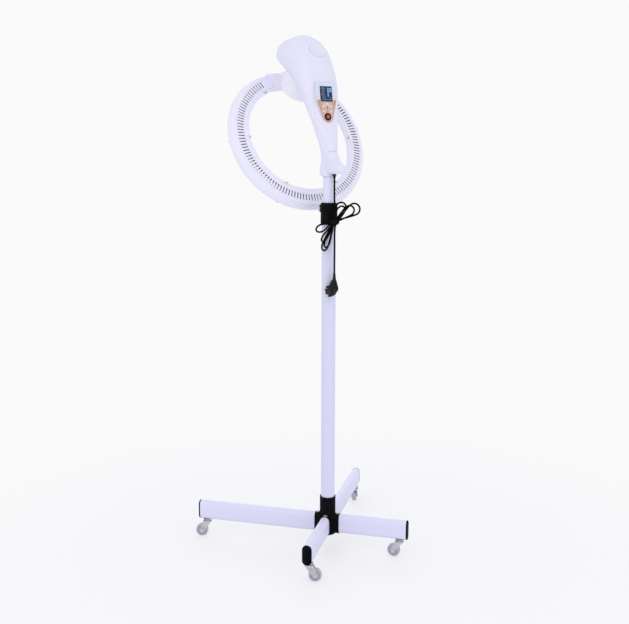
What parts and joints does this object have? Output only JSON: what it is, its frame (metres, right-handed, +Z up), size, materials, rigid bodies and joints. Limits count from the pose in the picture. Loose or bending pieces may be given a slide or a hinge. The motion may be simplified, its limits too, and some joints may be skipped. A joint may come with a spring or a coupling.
{
  "type": "hair color processor",
  "caption": "Salon hair colour processor: heated ring orbiting the head from a moulded housing with control panel, on a telescopic pole with a caster base.",
  "frame": {"origin": "on the floor, on the axis of the upright pole", "axes": "+Z up along the pole; -Y towards the stylist and the control panel; +Y towards the client's side, where the ring hangs; X=0 is the plane of symmetry of the housing and the ring"},
  "size_m": [0.6195, 0.4993, 1.5504],
  "materials": {
    "shell_white": "satin",
    "cap_tint": "gloss",
    "panel_white": "gloss",
    "pole_white": "powder coat",
    "base_black": "moulded black",
    "bearing_nylon": "natural nylon",
    "steel_zinc": "zinc plated",
    "caster_zinc": "zinc plated",
    "wheel_grey": "grey rubber",
    "panel_copper": "copper-tinted",
    "display_glass": "smoked window",
    "board_green": "circuit board",
    "power_red": "tinted gloss",
    "key_white": "soft touch",
    "reflector_aluminium": "polished sheet",
    "lamp_glass": "quartz tube",
    "ceramic_white": "ceramic",
    "cord_black": "flexible black",
    "pin_nickel": "nickel plated"
  },
  "bodies": {
    "stand": {"base_hub": "base_black", "hub_bolts": "steel_zinc", "leg_front_left": "pole_white", "leg_front_right": "pole_white", "leg_back_left": "pole_white", "leg_back_right": "pole_white", "leg_caps": "base_black", "caster_stems": "steel_zinc", "lower_pole": "pole_white", "pole_bush": "base_black", "clamp_collar": "base_black", "clamp_bolt": "steel_zinc"},
    "clamp_lever": {"clamp_lever": "base_black"},
    "sliding_pole": {"upper_pole": "pole_white"},
    "head": {"pole_socket": "bearing_nylon", "housing_shell": "shell_white", "housing_back_cover": "shell_white", "front_fascia": "shell_white", "top_cap": "cap_tint", "grub_screws": "steel_zinc", "panel_bezel": "panel_white", "panel_plate": "panel_copper", "display_window": "display_glass", "control_board": "board_green", "cord_gland": "cord_black", "motor_plate": "steel_zinc", "gear_motor": "steel_zinc", "orbit_bearing": "bearing_nylon", "cord_upper": "cord_black", "cord_hank": "cord_black", "cord_lower": "cord_black", "plug_body": "cord_black", "plug_pins": "pin_nickel"},
    "power_button": {"power_button": "power_red"},
    "key_1": {"key_1": "key_white"},
    "key_2": {"key_2": "key_white"},
    "key_3": {"key_3": "key_white"},
    "key_4": {"key_4": "key_white"},
    "orbit_ring": {"rotor_shaft": "steel_zinc", "slip_ring": "bearing_nylon", "rotor_drum": "shell_white", "ring_front_shell": "shell_white", "ring_vent_band": "shell_white", "ring_back_shell": "shell_white", "ring_reflector": "reflector_aluminium", "heater_lamps": "lamp_glass", "lamp_holders": "ceramic_white", "ring_screws": "steel_zinc"},
    "fork_front_left": {"caster_fork_front_left": "caster_zinc", "caster_axle_front_left": "steel_zinc"},
    "wheel_front_left": {"caster_wheel_front_left": "wheel_grey"},
    "fork_front_right": {"caster_fork_front_right": "caster_zinc", "caster_axle_front_right": "steel_zinc"},
    "wheel_front_right": {"caster_wheel_front_right": "wheel_grey"},
    "fork_back_left": {"caster_fork_back_left": "caster_zinc", "caster_axle_back_left": "steel_zinc"},
    "wheel_back_left": {"caster_wheel_back_left": "wheel_grey"},
    "fork_back_right": {"caster_fork_back_right": "caster_zinc", "caster_axle_back_right": "steel_zinc"},
    "wheel_back_right": {"caster_wheel_back_right": "wheel_grey"}
  },
  "joints": [
    {"name": "height_slide", "type": "slide", "parent": "stand", "child": "sliding_pole", "axis": [0, 0, 1], "range_m": [-0.06, 0.24]},
    {"name": "head_swivel", "type": "hinge", "parent": "sliding_pole", "child": "head", "pos_m": [0, 0, 1.146], "axis": [0, 0, 1], "range_deg": [-75, 75]},
    {"name": "ring_orbit", "type": "hinge", "parent": "head", "child": "orbit_ring", "pos_m": [0, 0.172, 1.398], "axis": [0, 0.6428, -0.766], "continuous": true},
    {"name": "clamp_lever_turn", "type": "hinge", "parent": "stand", "child": "clamp_lever", "pos_m": [0.01, 0.032, 1.048], "axis": [1, 0, 0], "range_deg": [0, 75]},
    {"name": "power_press", "type": "slide", "parent": "head", "child": "power_button", "axis": [0, 0.9877, -0.1564], "range_m": [0, 0.0015], "stiffness_N_per_m": 400},
    {"name": "key_1_press", "type": "slide", "parent": "head", "child": "key_1", "axis": [0, 0.9877, -0.1564], "range_m": [0, 0.0008], "stiffness_N_per_m": 300},
    {"name": "key_2_press", "type": "slide", "parent": "head", "child": "key_2", "axis": [0, 0.9877, -0.1564], "range_m": [0, 0.0008], "stiffness_N_per_m": 300},
    {"name": "key_3_press", "type": "slide", "parent": "head", "child": "key_3", "axis": [0, 0.9877, -0.1564], "range_m": [0, 0.0008], "stiffness_N_per_m": 300},
    {"name": "key_4_press", "type": "slide", "parent": "head", "child": "key_4", "axis": [0, 0.9877, -0.1564], "range_m": [0, 0.0008], "stiffness_N_per_m": 300},
    {"name": "swivel_front_left", "type": "hinge", "parent": "stand", "child": "fork_front_left", "pos_m": [-0.1591, -0.1591, 0.045], "axis": [0, 0, 1], "continuous": true},
    {"name": "roll_front_left", "type": "hinge", "parent": "fork_front_left", "child": "wheel_front_left", "pos_m": [-0.14321, -0.16755, 0.019], "axis": [0.4695, 0.8829, 0], "continuous": true},
    {"name": "swivel_front_right", "type": "hinge", "parent": "stand", "child": "fork_front_right", "pos_m": [0.1591, -0.1591, 0.045], "axis": [0, 0, 1], "continuous": true},
    {"name": "roll_front_right", "type": "hinge", "parent": "fork_front_right", "child": "wheel_front_right", "pos_m": [0.14802, -0.14491, 0.019], "axis": [-0.788, -0.6157, 0], "continuous": true},
    {"name": "swivel_back_left", "type": "hinge", "parent": "stand", "child": "fork_back_left", "pos_m": [-0.27931, 0.27931, 0.045], "axis": [0, 0, 1], "continuous": true},
    {"name": "roll_back_left", "type": "hinge", "parent": "fork_back_left", "child": "wheel_back_left", "pos_m": [-0.2949, 0.28831, 0.019], "axis": [-0.5, -0.866, 0], "continuous": true},
    {"name": "swivel_back_right", "type": "hinge", "parent": "stand", "child": "fork_back_right", "pos_m": [0.27931, 0.27931, 0.045], "axis": [0, 0, 1], "continuous": true},
    {"name": "roll_back_right", "type": "hinge", "parent": "fork_back_right", "child": "wheel_back_right", "pos_m": [0.28831, 0.2949, 0.019], "axis": [-0.866, 0.5, 0], "continuous": true}
  ]
}
